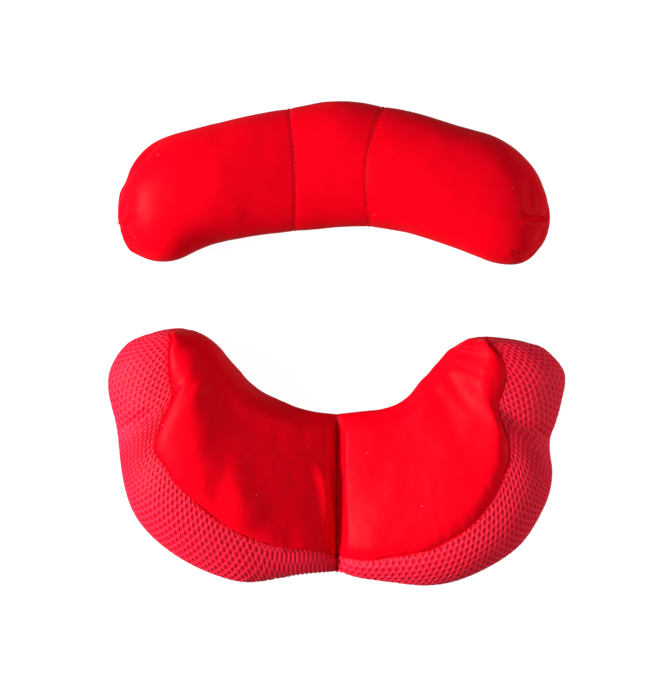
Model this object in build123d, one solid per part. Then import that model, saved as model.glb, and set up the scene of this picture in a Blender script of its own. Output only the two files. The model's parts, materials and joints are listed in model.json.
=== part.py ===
from build123d import *
import math
import os

# Two-piece liner pad set for a martial arts face guard: a brow roll and a chin and cheek cup.
# Both pads lie face side up on their hook patches. +X is the wearer's left, +Y is towards the
# crown, +Z is towards the face. The origin is on the resting plane under the set's middle.
# All lengths are in millimetres.

os.makedirs("parts", exist_ok=True)

# ---- driving dimensions ---------------------------------------------------------------------
PATCH_T = 1.5        # hook tape thickness
PATCH_W = 20.0       # hook tape width
PATCH_R = 2.5        # hook tape corner radius
BACK_T = 1.0         # back panel fabric
COVER_T = 1.2        # stretch cover fabric
MESH_T = 2.6         # spacer mesh gusset
FOAM_GAP = 0.5      # ease between foam and cover
SEAM_W = 1.6         # overlocked seam allowance
FOLD_Z = 2.0         # height of the chin pad's fold line, in the back panel
FOLD_HALF_ANGLE = 16.0   # each face of the crease leans back this far, in degrees
FOLD_EASE = 0.5      # each face of the crease stands off the fold line
CENTRE_TAPE_T = 0.6  # tape that closes the crease
CENTRE_TAPE_H = 8.0

Z0 = PATCH_T                 # underside of the back panels and of the brow cover
Z1 = PATCH_T + BACK_T        # underside of the chin pad's foam and walls

# Chin pad stations, from the crease round to the wing tip:
# outer edge x, y, inner edge x, y, seam distance, seam height, crest distance, crest height, inner shoulder height
CHIN_LEFT = [
    (0.0, -100.8, 0.0, -31.2, 8.0, 15.0, 20.0, 14.5, 11.0),
    (-11.6, -101.6, -9.8, -29.9, 10.8, 19.0, 22.0, 18.5, 11.5),
    (-25.6, -103.4, -20.0, -26.8, 15.2, 20.4, 31.0, 20.6, 15.5),
    (-40.5, -104.9, -29.2, -22.4, 21.0, 24.0, 37.0, 24.6, 18.6),
    (-55.5, -100.8, -36.1, -18.0, 24.2, 26.8, 41.0, 28.0, 21.0),
    (-69.5, -93.7, -41.0, -13.2, 26.8, 28.4, 44.0, 30.4, 22.8),
    (-81.7, -84.0, -44.1, -9.7, 27.4, 28.8, 50.5, 31.8, 23.8),
    (-90.0, -72.6, -46.3, -7.3, 26.4, 28.2, 52.5, 32.4, 24.4),
    (-93.9, -59.8, -47.6, -5.7, 27.2, 27.0, 50.0, 32.4, 24.8),
    (-95.5, -47.5, -48.9, -4.0, 29.6, 28.2, 46.5, 32.0, 25.0),
    (-97.0, -35.2, -50.2, -2.2, 30.4, 28.0, 43.5, 31.8, 25.0),
    (-99.8, -23.8, -51.5, -0.9, 30.2, 28.0, 41.0, 31.6, 25.0),
    (-100.2, -14.1, -53.7, 0.9, 28.8, 28.2, 37.0, 31.2, 24.6),
    (-96.9, -5.7, -56.4, 2.6, 25.2, 28.2, 32.0, 30.2, 23.0),
    (-90.0, 1.6, -59.9, 4.2, 18.4, 24.8, 23.0, 26.0, 18.5),
    (-81.7, 5.3, -65.2, 5.9, 10.5, 19.6, 12.0, 20.0, 13.0),
]
CHIN_RIGHT = [
    (0.0, -100.8, 0.0, -31.2, 8.0, 15.0, 20.0, 14.5, 11.0),
    (10.4, -103.4, 10.4, -29.9, 8.5, 18.5, 17.0, 18.5, 11.5),
    (25.0, -105.2, 20.5, -28.6, 12.4, 21.1, 19.0, 21.8, 13.0),
    (39.6, -106.3, 28.1, -25.5, 16.4, 24.7, 22.5, 25.4, 14.5),
    (54.7, -103.4, 33.4, -20.7, 19.6, 27.5, 26.0, 28.2, 15.5),
    (68.0, -97.2, 36.9, -16.3, 22.5, 29.1, 29.0, 29.8, 16.0),
    (80.3, -88.4, 39.6, -13.6, 25.6, 29.6, 31.5, 30.3, 15.5),
    (88.8, -76.1, 41.8, -11.0, 27.0, 29.6, 33.5, 30.3, 16.0),
    (93.7, -64.2, 43.6, -8.8, 28.4, 29.1, 35.3, 29.8, 16.0),
    (94.6, -54.6, 44.7, -7.7, 29.6, 28.6, 36.7, 29.3, 16.5),
    (93.6, -44.9, 45.8, -6.4, 29.6, 28.1, 36.5, 28.8, 17.0),
    (96.6, -33.4, 47.1, -5.1, 28.6, 28.1, 35.5, 28.8, 17.0),
    (99.3, -22.9, 48.4, -3.5, 28.2, 28.1, 34.5, 28.8, 17.0),
    (100.2, -13.2, 50.2, -2.0, 29.4, 28.1, 33.5, 28.8, 17.0),
    (95.6, -6.0, 52.5, -0.4, 26.5, 27.7, 31.5, 28.4, 17.5),
    (89.2, -0.9, 55.2, 1.1, 22.4, 24.7, 26.5, 25.4, 16.0),
    (82.2, 1.4, 60.2, 2.6, 16.0, 19.0, 18.2, 19.4, 12.0),
]

# Brow roll stations from end to end: upper edge x, y, lower edge x, y, height above the cover's underside
BROW = [
    (-95.3, 67.8, -90.9, 40.9, 17.0),
    (-91.3, 77.0, -83.4, 37.4, 26.0),
    (-83.8, 86.0, -71.9, 37.0, 31.5),
    (-73.3, 91.7, -59.6, 41.4, 33.5),
    (-58.7, 95.0, -47.7, 45.3, 34.0),
    (-39.8, 100.1, -33.7, 48.0, 32.4),
    (-21.3, 103.8, -18.3, 49.7, 30.0),
    (-0.2, 106.5, -0.7, 50.8, 30.4),
    (20.5, 104.7, 14.3, 51.3, 30.8),
    (39.4, 100.1, 31.0, 48.8, 32.6),
    (57.0, 95.0, 45.5, 44.4, 33.8),
    (72.4, 90.0, 57.9, 39.6, 33.6),
    (83.8, 80.5, 70.2, 35.6, 31.5),
    (89.5, 71.7, 81.6, 35.9, 26.0),
    (92.6, 62.9, 88.7, 41.8, 17.0),
]
BROW_SEAMS = (6, 8)          # stations that the two cover seams follow
BROW_END_TACK = (8.0, 1.6, 5.0)   # gathered stitch at each end: length, width, height

# Hook patches: centre x, y, length along the pad, angle
CHIN_PATCHES = {
    "chin_hook_patch_left_lower": (-46.0, -76.0, 46.0, -24.0),
    "chin_hook_patch_left_upper": (-76.0, -25.0, 38.0, 84.0),
    "chin_hook_patch_right_lower": (46.0, -77.0, 46.0, 24.0),
    "chin_hook_patch_right_upper": (75.0, -28.0, 38.0, -84.0),
}
BROW_PATCHES = {
    "brow_hook_patch_left": (-52.0, 69.5, 46.0, 15.0),
    "brow_hook_patch_right": (50.5, 69.5, 46.0, -16.0),
}


# ---- sections -------------------------------------------------------------------------------
def offset_chain(chain, amounts, z_bottom):
    """The open chain moved towards its right hand side by amounts, with both feet dropped to z_bottom."""
    moved = []
    for i, (d, z) in enumerate(chain):
        a, b = chain[max(i - 1, 0)], chain[min(i + 1, len(chain) - 1)]
        td, tz = b[0] - a[0], b[1] - a[1]
        n = math.hypot(td, tz)
        moved.append((d + tz / n * amounts[i], z - td / n * amounts[i]))
    moved[0] = (chain[0][0] + amounts[0], z_bottom)
    moved[-1] = (chain[-1][0] - amounts[-1], z_bottom)
    return moved


def chin_chain(st, zb=Z1):
    """Outer surface of the chin pad's section, as distance from the outer edge and height."""
    ox, oy, ix, iy, dr, zr, dc, zc, zi = st
    w = math.hypot(ix - ox, iy - oy)
    b, s = min(3.0, 0.12 * w), min(5.0, 0.2 * w)
    hr, hi = zr - zb, zi - zb
    chain = [
        (b, zb),
        (0.25 * b, zb + 0.2 * hr),
        (0.0, zb + 0.4 * hr),
        (0.16 * dr, zb + 0.7 * hr),
        (0.52 * dr, zb + 0.92 * hr),
        (dr, zr),
    ]
    wall = [MESH_T] * 5 + [0.5 * (MESH_T + COVER_T)]
    if dc - dr > 2.5:
        chain.append((dc, zc))
        wall.append(COVER_T)
    else:
        chain.append((dr + 0.35 * (w - s - dr), zr + 0.35 * (zi - zr) + 0.3))
        wall.append(COVER_T)
    d0, z0 = chain[-1]
    chain.append((0.5 * (d0 + w - s), 0.5 * (z0 + zi) - 0.02 * (w - d0)))
    chain += [(w - s, zi), (w - 0.25 * s, zb + 0.74 * hi), (w, zb + 0.42 * hi), (w - 0.3 * b, zb + 0.16 * hi), (w - b, zb)]
    wall += [COVER_T] * 6
    return chain, wall, w


def section_wire(st, chain, w):
    ox, oy, ix, iy = st[:4]
    ux, uy = (ix - ox) / w, (iy - oy) / w
    pts = [Vector(ox + ux * d, oy + uy * d, z) for d, z in chain]
    return Wire([Edge.make_spline(pts), Edge.make_line(pts[-1], pts[0])])


def between(a, b, t):
    return tuple(p + (q - p) * t for p, q in zip(a, b))


def beyond_crease(st, step):
    """The first station again, moved past the crease so that the cut there is clean."""
    return (st[0] + step, st[1], st[2] + step) + tuple(st[3:])


def chin_solid(stations, extra, z_bottom, tip, side):
    """One half of the chin pad, drawn in from its outer surface by the wall and extra. tip is how much of the last span is kept."""
    use = list(stations)
    use[-1] = between(use[-2], use[-1], tip)
    use = [beyond_crease(use[0], -side * 6.0)] + use
    wires = []
    for st in use:
        chain, wall, w = chin_chain(st)
        if extra is not None:
            chain = offset_chain(chain, [t + extra for t in wall], z_bottom)
        wires.append(section_wire(st, chain, w))
    return Solid.make_loft(wires, False)


def brow_chain(w, h, zb):
    f = [(0.15, 0.0), (0.035, 0.14), (0.0, 0.38), (0.055, 0.66), (0.2, 0.89), (0.5, 1.0), (0.8, 0.89), (0.945, 0.66), (1.0, 0.38), (0.965, 0.14), (0.85, 0.0)]
    return [(w * a, zb + h * b) for a, b in f]


def brow_solid(shrink, z_bottom, end):
    """The brow roll drawn in by shrink all round, its first and last spans kept to the share end."""
    use = list(BROW)
    use[0], use[-1] = between(use[1], use[0], end), between(use[-2], use[-1], end)
    wires = []
    for tx, ty, bx, by, h in use:
        w = math.hypot(bx - tx, by - ty)
        chain = brow_chain(w, h, Z0)
        if shrink:
            chain = offset_chain(chain, [shrink] * len(chain), z_bottom)
            chain[0], chain[-1] = (chain[0][0], z_bottom), (chain[-1][0], z_bottom)
        wires.append(section_wire((tx, ty, bx, by), chain, w))
    return Solid.make_loft(wires, False)


# ---- helpers --------------------------------------------------------------------------------
def prism(points, z_low, z_high):
    """A vertical prism over a closed polygon."""
    return extrude(Face(Wire.make_polygon([Vector(x, y, z_low) for x, y in points], close=True)), amount=z_high - z_low, dir=(0, 0, 1))


def splined_prism(curve, corners, z_low, z_high):
    """A vertical prism closed by a spline through curve and straight runs through corners."""
    pts = [Vector(x, y, z_low) for x, y in curve]
    run = [pts[-1]] + [Vector(x, y, z_low) for x, y in corners] + [pts[0]]
    edges = [Edge.make_spline(pts)] + [Edge.make_line(a, b) for a, b in zip(run[:-1], run[1:])]
    return extrude(Face(Wire(edges)), amount=z_high - z_low, dir=(0, 0, 1))


def crease_keep(side, ease):
    """The space that one half may fill: beyond a face that leans back from the fold line."""
    t = math.tan(math.radians(FOLD_HALF_ANGLE))
    top = 60.0
    pts = [(side * ease, -5.0), (side * ease, FOLD_Z), (side * (ease + (top - FOLD_Z) * t), top), (side * 130.0, top), (side * 130.0, -5.0)]
    wire = Wire.make_polygon([Vector(x, -130.0, z) for x, z in pts], close=True)
    return extrude(Face(wire), amount=160.0, dir=(0, 1, 0))


def one_solid(shape, name):
    """The largest solid of a cut, which must hold nearly all of it."""
    solids = sorted(shape.solids(), key=lambda s: -s.volume)
    total = sum(s.volume for s in solids)
    if len(solids) > 1 and solids[0].volume < 0.97 * total:
        print("NOTE", name, "is in pieces of", [round(s.volume, 1) for s in solids])
    return solids[0]


made = {}


def keep(name, shape):
    made[name] = one_solid(shape, name)
    print(name, "volume", round(made[name].volume, 1), "valid", made[name].is_valid)


def patch(name, cx, cy, length, angle):
    """A strip of hook tape, its corners rounded, lying on the resting plane."""
    strip = fillet(Box(length, PATCH_W, PATCH_T).edges().filter_by(Axis.Z), PATCH_R)
    keep(name, Pos(cx, cy, PATCH_T / 2) * Rot(0, 0, angle) * strip)


# ---- chin pad -------------------------------------------------------------------------------
def seam_line(stations, shift):
    """Plan of the seam between the front panel and the mesh gusset, moved by shift towards the inner edge."""
    pts = []
    for st in stations[:-1]:
        ox, oy, ix, iy, dr = st[:5]
        w = math.hypot(ix - ox, iy - oy)
        d = dr + shift
        pts.append((ox + (ix - ox) / w * d, oy + (iy - oy) / w * d))
    return pts


def inner_region(stations, side, shift):
    line = seam_line(stations, shift)
    first, last = line[0], line[-1]
    line = [(first[0] - side * 10.0, first[1])] + line
    tip = stations[-1]
    ox, oy, ix, iy, dr = tip[:5]
    w = math.hypot(ix - ox, iy - oy)
    d = dr + shift
    end = (ox + (ix - ox) / w * d, oy + (iy - oy) / w * d)
    out = (end[0] + (end[0] - last[0]) * 0.8, end[1] + 12.0)
    line += [end, out]
    return splined_prism(line, [(-side * 10.0, 40.0)], -5.0, 70.0)


def foot_outline(stations, inset, side):
    """Plan of the back edge, inset all round."""
    outer, inner = [], []
    for st in stations:
        chain, wall, w = chin_chain(st)
        ox, oy, ix, iy = st[:4]
        ux, uy = (ix - ox) / w, (iy - oy) / w
        a, b = chain[0][0] + inset, chain[-1][0] - inset
        outer.append((ox + ux * a, oy + uy * a))
        inner.append((ox + ux * b, oy + uy * b))
    # the tip stops short by the inset as well
    tip_o, tip_i = outer[-1], inner[-1]
    back = (outer[-2][0] - tip_o[0], outer[-2][1] - tip_o[1])
    n = math.hypot(*back)
    k = inset * 1.0 / max(n, 1e-6)
    outer[-1] = (tip_o[0] + back[0] * k, tip_o[1] + back[1] * k)
    back = (inner[-2][0] - tip_i[0], inner[-2][1] - tip_i[1])
    n = math.hypot(*back)
    k = inset * 1.0 / max(n, 1e-6)
    inner[-1] = (tip_i[0] + back[0] * k, tip_i[1] + back[1] * k)
    outer = [(outer[0][0] - side * 6.0, outer[0][1])] + outer
    inner = [(inner[0][0] - side * 6.0, inner[0][1])] + inner
    po = [Vector(x, y, 0) for x, y in outer]
    pi = [Vector(x, y, 0) for x, y in inner]
    edges = [Edge.make_spline(po), Edge.make_line(po[-1], pi[-1]), Edge.make_spline(pi[::-1]), Edge.make_line(pi[0], po[0])]
    return Face(Wire(edges))


def plate(face, z_low, z_high):
    return extrude(Pos(0, 0, z_low) * face, amount=z_high - z_low, dir=(0, 0, 1))


for word, side, stations in (("left", -1, CHIN_LEFT), ("right", 1, CHIN_RIGHT)):
    half = crease_keep(side, FOLD_EASE)
    outer = chin_solid(stations, None, Z1, 1.0, side)
    hollow = chin_solid(stations, 0.0, Z1 - 3.0, 0.55, side)
    core = chin_solid(stations, FOAM_GAP, Z1, 0.5, side)
    shell = (outer - hollow) & half
    keep("chin_foam_" + word, core & half)
    inside = inner_region(stations, side, SEAM_W / 2)
    wider = inner_region(stations, side, -SEAM_W / 2)
    keep("chin_front_panel_" + word, shell & inside)
    keep("chin_ridge_seam_" + word, (shell & wider) - inside)
    keep("chin_mesh_gusset_" + word, shell - wider)
    full = plate(foot_outline(stations, 0.0, side), Z0, Z1)
    small = plate(foot_outline(stations, 1.2, side), Z0 - 1.0, Z1 + 1.0)
    keep("chin_back_panel_" + word, (full & small) & half)
    keep("chin_back_seam_" + word, (full - small) & half)

# the tape that closes the crease lies against the left half's face of it
t = math.tan(math.radians(FOLD_HALF_ANGLE))
low, high = FOLD_Z + 0.6, FOLD_Z + 0.6 + CENTRE_TAPE_H
face_x = lambda z: -(FOLD_EASE + (z - FOLD_Z) * t)
tape = Wire.make_polygon([Vector(face_x(low), -92.0, low), Vector(face_x(low) + CENTRE_TAPE_T, -92.0, low), Vector(face_x(high) + CENTRE_TAPE_T, -92.0, high), Vector(face_x(high), -92.0, high)], close=True)
keep("chin_centre_seam", extrude(Face(tape), amount=55.0, dir=(0, 1, 0)))

for name, (cx, cy, length, angle) in CHIN_PATCHES.items():
    patch(name, cx, cy, length, angle)

# ---- brow pad -------------------------------------------------------------------------------
brow_outer = brow_solid(0.0, Z0, 1.0)
brow_hollow = brow_solid(COVER_T, Z0 + COVER_T, 0.9)
keep("brow_foam_core", brow_solid(COVER_T + FOAM_GAP, Z0 + COVER_T + 0.05, 0.86))
cover = brow_outer - brow_hollow


def seam_frame(i):
    """A point on seam i and the direction across the roll there."""
    tx, ty, bx, by, h = BROW[i]
    n = math.hypot(bx - tx, by - ty)
    return (tx + bx) / 2, (ty + by) / 2, (bx - tx) / n, (by - ty) / n


def slab(i, reach_low, reach_high):
    """A slab across the roll at seam i, from reach_low to reach_high along the roll."""
    cx, cy, ux, uy = seam_frame(i)
    ax, ay = -uy, ux                       # along the roll, towards +X
    if ax < 0:
        ax, ay = -ax, -ay
    q = 60.0
    pts = [
        (cx + ax * reach_low - ux * q, cy + ay * reach_low - uy * q),
        (cx + ax * reach_high - ux * q, cy + ay * reach_high - uy * q),
        (cx + ax * reach_high + ux * q, cy + ay * reach_high + uy * q),
        (cx + ax * reach_low + ux * q, cy + ay * reach_low + uy * q),
    ]
    return prism(pts, -5.0, 60.0)


ls, rs = BROW_SEAMS
keep("brow_seam_left", cover & slab(ls, -SEAM_W / 2, SEAM_W / 2))
keep("brow_seam_right", cover & slab(rs, -SEAM_W / 2, SEAM_W / 2))
keep("brow_cover_centre", (cover & slab(ls, SEAM_W / 2, 90.0)) & slab(rs, -90.0, -SEAM_W / 2))
left_cover = cover & slab(ls, -120.0, -SEAM_W / 2)
right_cover = cover & slab(rs, SEAM_W / 2, 120.0)
tack_l, tack_w, tack_h = BROW_END_TACK
tacks = {
    "left": Pos(-92.5, 54.0, 11.0) * Rot(0, 0, 8) * Box(tack_l, tack_w, tack_h),
    "right": Pos(90.3, 52.5, 11.0) * Rot(0, 0, -8) * Box(tack_l, tack_w, tack_h),
}
keep("brow_end_tack_left", left_cover & tacks["left"])
keep("brow_end_tack_right", right_cover & tacks["right"])
keep("brow_cover_left", left_cover - tacks["left"])
keep("brow_cover_right", right_cover - tacks["right"])
for name, (cx, cy, length, angle) in BROW_PATCHES.items():
    patch(name, cx, cy, length, angle)

low, high = [1e9] * 3, [-1e9] * 3
for name, solid in made.items():
    b = solid.bounding_box()
    low = [min(p, q) for p, q in zip(low, b.min)]
    high = [max(p, q) for p, q in zip(high, b.max)]
    export_step(solid, "parts/" + name + ".step")
print("nodes", len(made), "low", [round(v, 2) for v in low], "high", [round(v, 2) for v in high])
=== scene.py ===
import bpy
import json
import math
import numpy as np
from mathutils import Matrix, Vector

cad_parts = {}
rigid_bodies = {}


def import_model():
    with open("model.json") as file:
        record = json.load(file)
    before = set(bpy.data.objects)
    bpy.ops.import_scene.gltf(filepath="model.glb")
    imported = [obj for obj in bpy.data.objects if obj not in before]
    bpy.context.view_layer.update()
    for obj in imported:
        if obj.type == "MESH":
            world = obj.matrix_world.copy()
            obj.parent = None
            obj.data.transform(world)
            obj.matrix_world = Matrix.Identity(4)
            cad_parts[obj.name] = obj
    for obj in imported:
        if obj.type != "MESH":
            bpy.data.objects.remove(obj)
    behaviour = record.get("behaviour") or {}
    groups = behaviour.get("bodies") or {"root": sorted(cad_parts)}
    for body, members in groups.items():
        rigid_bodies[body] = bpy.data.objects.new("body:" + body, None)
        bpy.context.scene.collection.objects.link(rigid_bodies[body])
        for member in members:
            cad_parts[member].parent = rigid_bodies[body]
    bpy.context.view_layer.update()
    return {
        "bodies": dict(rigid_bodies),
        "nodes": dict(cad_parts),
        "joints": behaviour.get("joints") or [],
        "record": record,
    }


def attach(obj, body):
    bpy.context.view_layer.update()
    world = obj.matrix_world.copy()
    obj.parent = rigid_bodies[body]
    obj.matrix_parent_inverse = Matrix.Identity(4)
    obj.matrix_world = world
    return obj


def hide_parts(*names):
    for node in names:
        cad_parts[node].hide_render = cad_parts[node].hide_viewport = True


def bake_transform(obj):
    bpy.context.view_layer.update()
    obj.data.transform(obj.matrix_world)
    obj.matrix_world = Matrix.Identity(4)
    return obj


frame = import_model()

MM = 0.001
RNG = np.random.default_rng(7)

# =============================================================================================
# Shape tables, in millimetres. Same stations as the CAD.
# outer x, y, inner x, y, seam distance, seam height, crest distance, crest height, inner shoulder height
# =============================================================================================
CHIN_LEFT = [
    (0.0, -100.8, 0.0, -31.2, 8.0, 12.4, 22.0, 12.4, 10.0),
    (-11.6, -101.6, -9.8, -29.9, 11.2, 16.4, 26.0, 16.2, 12.2),
    (-25.6, -103.4, -20.0, -26.8, 15.2, 20.4, 31.0, 20.6, 15.5),
    (-40.5, -104.9, -29.2, -22.4, 21.0, 24.0, 37.0, 24.6, 18.6),
    (-55.5, -100.8, -36.1, -18.0, 24.2, 26.8, 41.0, 28.0, 21.0),
    (-69.5, -93.7, -41.0, -13.2, 26.8, 28.4, 44.0, 30.4, 22.8),
    (-81.7, -84.0, -44.1, -9.7, 27.4, 28.8, 50.5, 31.8, 23.8),
    (-90.0, -72.6, -46.3, -7.3, 26.2, 28.2, 52.5, 32.4, 24.4),
    (-93.9, -59.8, -47.6, -5.7, 23.6, 27.0, 50.0, 32.4, 24.8),
    (-95.5, -47.5, -48.9, -4.0, 32.4, 28.8, 44.5, 31.6, 25.0),
    (-97.0, -35.2, -50.2, -2.2, 31.2, 29.0, 40.5, 31.4, 25.0),
    (-99.8, -23.8, -51.5, -0.9, 30.2, 29.2, 37.0, 31.2, 25.2),
    (-100.2, -14.1, -53.7, 0.9, 28.8, 29.4, 33.0, 30.8, 25.4),
    (-96.9, -5.7, -56.4, 2.6, 25.2, 28.8, 29.0, 30.0, 25.2),
    (-90.0, 1.6, -59.9, 4.2, 18.4, 27.0, 19.8, 27.8, 23.8),
    (-81.7, 5.3, -65.2, 5.9, 8.0, 23.6, 9.5, 24.0, 20.5),
]
CHIN_RIGHT = [
    (0.0, -100.8, 0.0, -31.2, 8.0, 12.4, 22.0, 12.4, 10.0),
    (10.4, -103.4, 10.4, -29.9, 8.6, 16.5, 15.5, 17.2, 11.6),
    (25.0, -105.2, 20.5, -28.6, 12.4, 21.1, 19.0, 21.8, 13.0),
    (39.6, -106.3, 28.1, -25.5, 16.4, 24.7, 22.5, 25.4, 14.5),
    (54.7, -103.4, 33.4, -20.7, 19.6, 27.5, 26.0, 28.2, 15.5),
    (68.0, -97.2, 36.9, -16.3, 22.5, 29.1, 29.0, 29.8, 16.0),
    (80.3, -88.4, 39.6, -13.6, 25.6, 29.6, 31.5, 30.3, 15.5),
    (88.8, -76.1, 41.8, -11.0, 27.0, 29.6, 33.5, 30.3, 16.0),
    (93.7, -64.2, 43.6, -8.8, 28.8, 29.1, 35.3, 29.8, 16.0),
    (94.6, -54.6, 44.7, -7.7, 33.0, 28.6, 36.7, 29.3, 16.5),
    (93.6, -44.9, 45.8, -6.4, 30.4, 28.1, 36.5, 28.8, 17.0),
    (96.6, -33.4, 47.1, -5.1, 28.6, 28.1, 35.5, 28.8, 17.0),
    (99.3, -22.9, 48.4, -3.5, 28.2, 28.1, 34.5, 28.8, 17.0),
    (100.2, -13.2, 50.2, -2.0, 29.4, 28.1, 33.5, 28.8, 17.0),
    (95.6, -6.0, 52.5, -0.4, 27.8, 27.7, 31.5, 28.4, 21.0),
    (89.2, -0.9, 55.2, 1.1, 23.4, 26.7, 26.5, 27.4, 21.5),
    (82.2, 1.4, 60.2, 2.6, 16.0, 23.0, 18.2, 23.4, 18.5),
]
# upper edge x, y, lower edge x, y, height
BROW = [
    (-95.3, 67.8, -90.9, 40.9, 17),
    (-91.3, 77.0, -83.4, 37.4, 26),
    (-83.8, 86.0, -71.9, 37.0, 31.5),
    (-73.3, 91.7, -59.6, 41.4, 33.5),
    (-58.7, 95.0, -47.7, 45.3, 34),
    (-39.8, 100.1, -33.7, 48.0, 32.4),
    (-21.3, 103.8, -18.3, 49.7, 30.0),
    (-0.2, 106.5, -0.7, 50.8, 30.4),
    (20.5, 104.7, 14.3, 51.3, 30.8),
    (39.4, 100.1, 31.0, 48.8, 32.6),
    (57.0, 95.0, 45.5, 44.4, 33.8),
    (72.4, 90.0, 57.9, 39.6, 33.6),
    (83.8, 80.5, 70.2, 35.6, 31.5),
    (89.5, 71.7, 81.6, 35.9, 26),
    (92.6, 62.9, 88.7, 41.8, 17),
]
BROW_Z0 = 1.5
CHIN_Z0 = 2.5
PATCHES = {
    "chin_hook_patch_left_lower": ("chin_left", -46.0, -76.0, 46.0, -24.0),
    "chin_hook_patch_left_upper": ("chin_left", -76.0, -25.0, 38.0, 84.0),
    "chin_hook_patch_right_lower": ("chin_right", 46.0, -77.0, 46.0, 24.0),
    "chin_hook_patch_right_upper": ("chin_right", 75.0, -28.0, 38.0, -84.0),
    "brow_hook_patch_left": ("brow_pad", -52.0, 69.5, 46.0, 15.0),
    "brow_hook_patch_right": ("brow_pad", 50.5, 69.5, 46.0, -16.0),
}


# =============================================================================================
# Small numeric helpers
# =============================================================================================
def natural_spline(t, y, q):
    """Natural cubic spline through (t, y) at q. y may have several columns."""
    t, y, q = np.asarray(t, float), np.asarray(y, float), np.asarray(q, float)
    flat = y.reshape(len(t), -1)
    n = len(t)
    h = np.diff(t)
    a = np.zeros((n, n))
    r = np.zeros((n, flat.shape[1]))
    a[0, 0] = a[-1, -1] = 1.0
    for i in range(1, n - 1):
        a[i, i - 1], a[i, i], a[i, i + 1] = h[i - 1], 2 * (h[i - 1] + h[i]), h[i]
        r[i] = 6 * ((flat[i + 1] - flat[i]) / h[i] - (flat[i] - flat[i - 1]) / h[i - 1])
    m = np.linalg.solve(a, r)
    k = np.clip(np.searchsorted(t, q, side="right") - 1, 0, n - 2)
    d = (q - t[k])[:, None]
    hk = h[k][:, None]
    out = (
        flat[k]
        + d * ((flat[k + 1] - flat[k]) / hk - hk * (2 * m[k] + m[k + 1]) / 6)
        + d**2 * m[k] / 2
        + d**3 * (m[k + 1] - m[k]) / (6 * hk)
    )
    return out.reshape((len(q),) + y.shape[1:])


def chord(points):
    """Running length along a list of points."""
    d = np.linalg.norm(np.diff(np.asarray(points, float), axis=0), axis=-1)
    return np.concatenate([[0.0], np.cumsum(d)])


def evenly(points, n, power=1.0):
    """n + 1 points spaced evenly by length along a smooth curve through points."""
    t = chord(points)
    fine = natural_spline(t, points, np.linspace(0, t[-1], 40 * len(points)))
    s = chord(fine)
    want = np.linspace(0, 1, n + 1) ** power * s[-1]
    return np.stack([np.interp(want, s, fine[:, k]) for k in range(fine.shape[1])], 1)


def smoothstep(a, b, x):
    t = np.clip((np.asarray(x, float) - a) / (b - a), 0, 1)
    return t * t * (3 - 2 * t)


def bump(x, w):
    return np.exp(-((np.asarray(x, float) / w) ** 2))


def value_noise(p, seed=0):
    """Smooth noise from -1 to 1 at points p, three columns."""
    p = np.asarray(p, float)
    i = np.floor(p).astype(np.int64)
    f = p - i
    f = f * f * (3 - 2 * f)
    total = 0.0
    for dx in (0, 1):
        for dy in (0, 1):
            for dz in (0, 1):
                h = (i[..., 0] + dx) * 374761393 + (i[..., 1] + dy) * 668265263 + (i[..., 2] + dz) * 2147483647 + seed * 1274126177
                h = (h ^ (h >> 13)) * 1274126177
                h = (h ^ (h >> 16)) & 0xFFFFFF
                v = h / float(0xFFFFFF) * 2 - 1
                w = (f[..., 0] if dx else 1 - f[..., 0]) * (f[..., 1] if dy else 1 - f[..., 1]) * (f[..., 2] if dz else 1 - f[..., 2])
                total = total + v * w
    return total


def grid_normals(g, closed=False):
    """Unit normals of a grid of points; closed joins the last column to the first."""
    du = np.gradient(g, axis=0)
    if closed:
        dv = (np.roll(g, -1, 1) - np.roll(g, 1, 1)) / 2
    else:
        dv = np.gradient(g, axis=1)
    n = np.cross(du, dv)
    l = np.linalg.norm(n, axis=-1, keepdims=True)
    return n / np.maximum(l, 1e-12)


# =============================================================================================
# Objects
# =============================================================================================
def new_mesh(name, verts_mm, faces, mat, uv=None, smooth=True):
    """A mesh piece from points in millimetres. uv holds one pair per vertex, in millimetres of cloth."""
    me = bpy.data.meshes.new(name)
    me.from_pydata([tuple(p) for p in (np.asarray(verts_mm, float) * MM)], [], [tuple(int(i) for i in f) for f in faces])
    if uv is not None:
        layer = me.uv_layers.new(name="cloth")
        idx = np.zeros(len(me.loops), np.int32)
        me.loops.foreach_get("vertex_index", idx)
        layer.data.foreach_set("uv", np.asarray(uv, np.float32)[idx].ravel())
    me.polygons.foreach_set("use_smooth", [smooth] * len(me.polygons))
    me.materials.append(mat)
    me.validate()
    me.update()
    ob = bpy.data.objects.new(name, me)
    bpy.context.scene.collection.objects.link(ob)
    return ob


def grid_faces(nu, nv, flip=False, closed_v=False):
    f = []
    last = nv if closed_v else nv - 1
    for i in range(nu - 1):
        for j in range(last):
            a, b = i * nv + j, i * nv + (j + 1) % nv
            c, d = (i + 1) * nv + (j + 1) % nv, (i + 1) * nv + j
            f.append((a, d, c, b) if flip else (a, b, c, d))
    return f


def grid_piece(name, g, mat, uv=None, flip=False):
    nu, nv = g.shape[:2]
    return new_mesh(name, g.reshape(-1, 3), grid_faces(nu, nv, flip), mat, None if uv is None else uv.reshape(-1, 2))


def lengths_uv(g, rows_at=None):
    """Cloth coordinates of a grid, in millimetres: along the rows and across them."""
    nu, nv = g.shape[:2]
    j = nv // 2 if rows_at is None else rows_at
    along = chord(g[:, j])
    across = np.stack([chord(g[i]) for i in range(nu)])
    across = across - across[:, j : j + 1]
    return np.stack([np.repeat(along[:, None], nv, 1), across], -1)


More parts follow.
